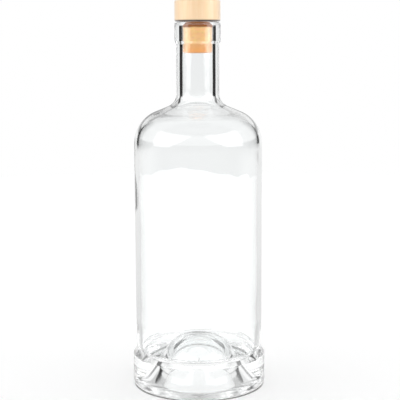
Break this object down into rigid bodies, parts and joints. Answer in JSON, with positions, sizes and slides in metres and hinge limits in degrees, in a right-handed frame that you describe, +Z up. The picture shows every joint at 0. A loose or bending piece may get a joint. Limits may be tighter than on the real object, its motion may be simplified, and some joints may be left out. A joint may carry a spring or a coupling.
{
  "type": "gin bottle",
  "caption": "Empty clear glass spirits bottle with rounded shoulders, a heavy pushed-up base and a cork-shanked wooden bar-top stopper that lifts out.",
  "frame": {"origin": "centre of the foot, on the surface that the bottle stands on", "axes": "+Z up along the bottle's axis, out through the mouth; the glass is round, so X and Y are any two directions across it"},
  "size_m": [0.087, 0.087, 0.2519],
  "materials": {
    "clear_glass": "fire-polished, clear flint glass",
    "beech": "turned and sanded pale wood, satin",
    "cork": "ground natural cork, matte"
  },
  "bodies": {
    "bottle": {"glass_bottle": "clear_glass"},
    "stopper": {"stopper_head": "beech", "cork_shank": "cork"}
  },
  "joints": [
    {"name": "stopper_lift", "type": "slide", "parent": "bottle", "child": "stopper", "axis": [0, 0, 1], "range_m": [0, 0.04]}
  ]
}
